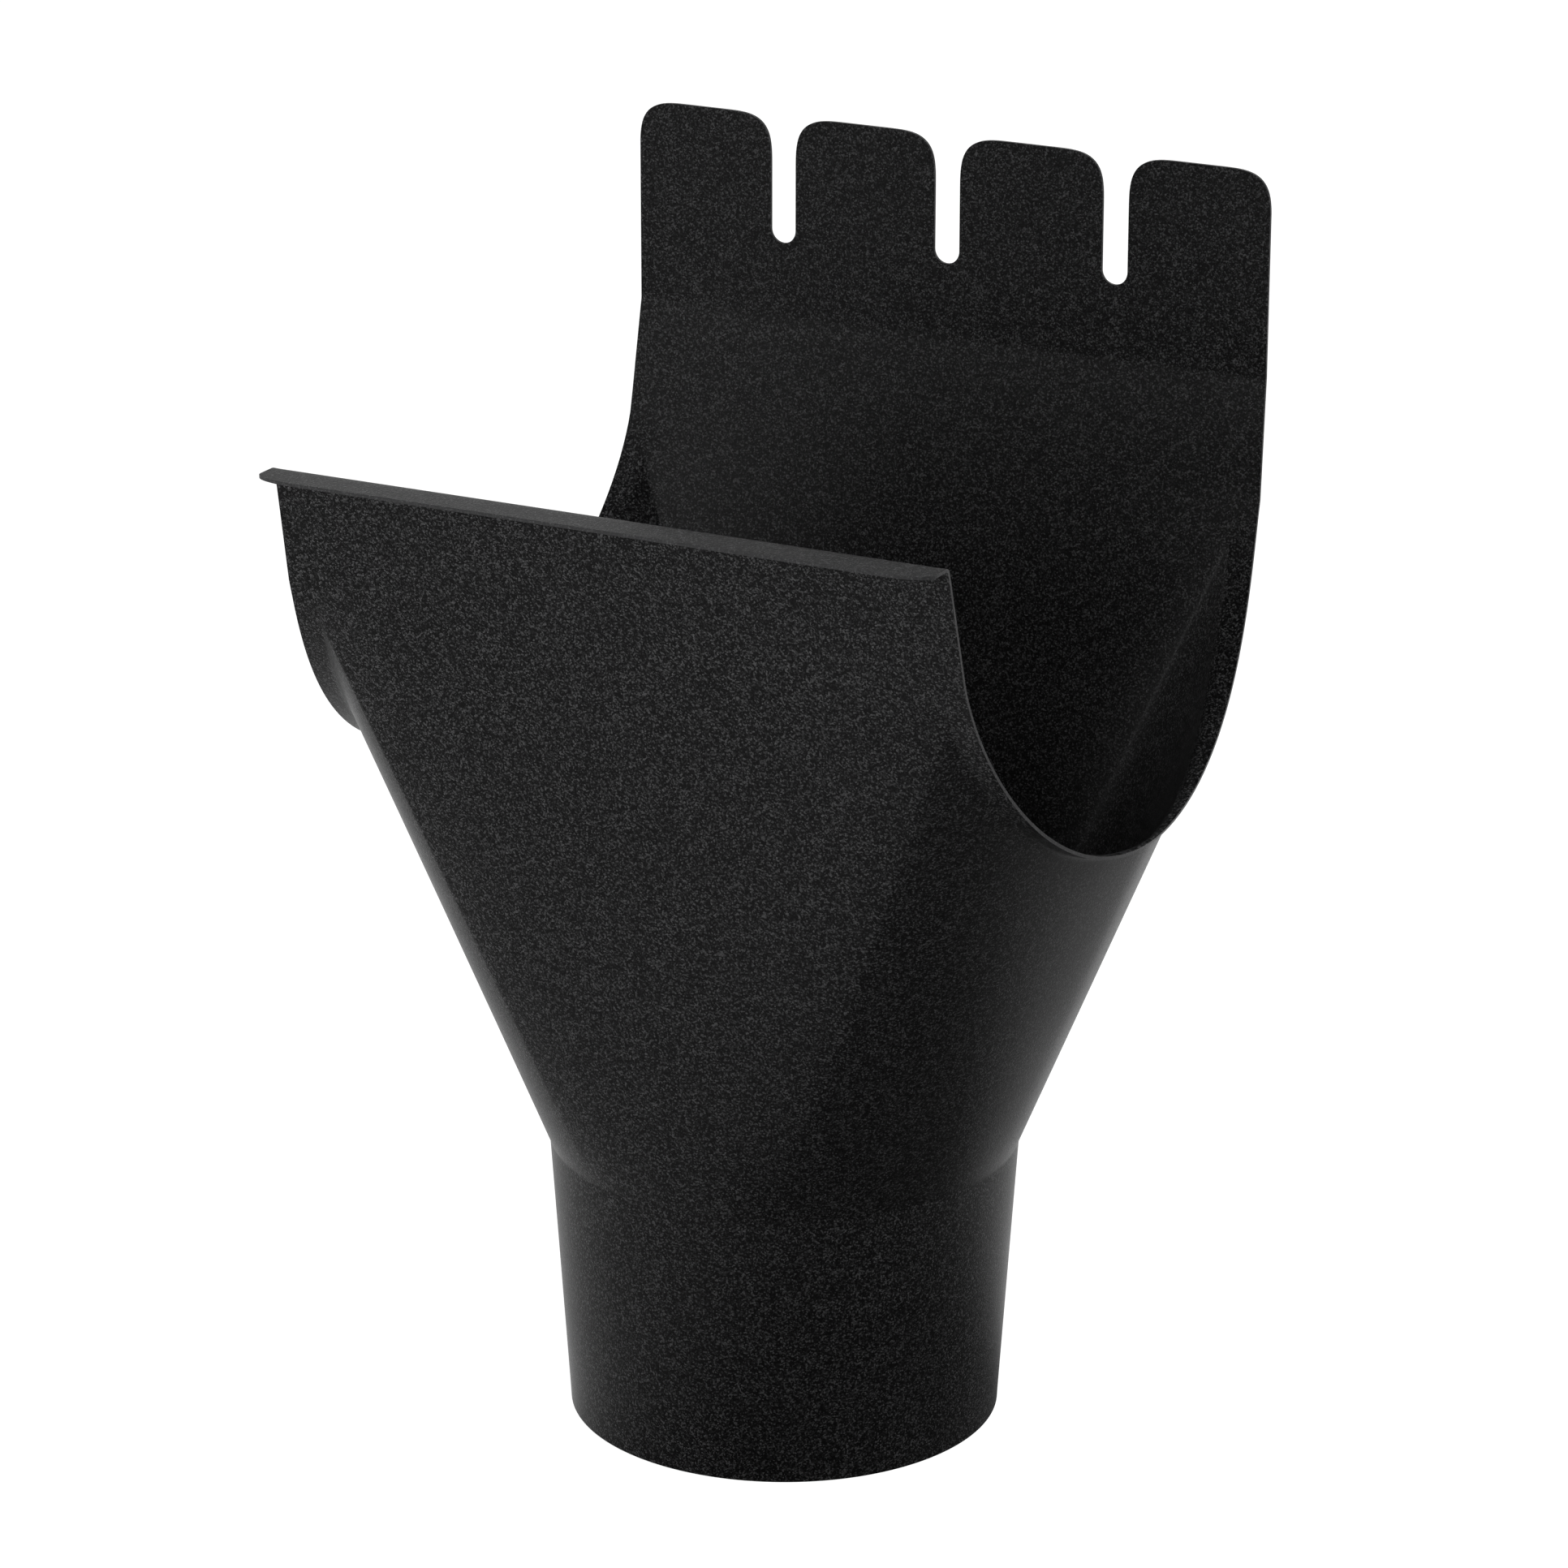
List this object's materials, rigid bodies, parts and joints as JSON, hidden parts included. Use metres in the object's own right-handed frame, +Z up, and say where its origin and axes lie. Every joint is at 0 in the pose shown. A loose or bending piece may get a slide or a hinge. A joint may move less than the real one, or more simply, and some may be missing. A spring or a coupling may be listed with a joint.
{
  "type": "gutter outlet",
  "caption": "Pressed sheet-steel outlet for a half-round gutter: saddle with a front lip and slotted rear tabs, funnel, and tapered round spigot.",
  "frame": {"origin": "centre of the bounding box's base, in the plane of the spigot's end; the spigot's own axis is 5.3 mm behind it, towards +Y", "axes": "+Z up out of the spigot, X along the gutter, -Y towards the front lip"},
  "size_m": [0.1672, 0.1614, 0.2617],
  "materials": {
    "coating": "matte black polymer coating with a fine grain, on thin sheet steel"
  },
  "bodies": {
    "root": {"gutter_outlet": "coating"}
  },
  "joints": []
}
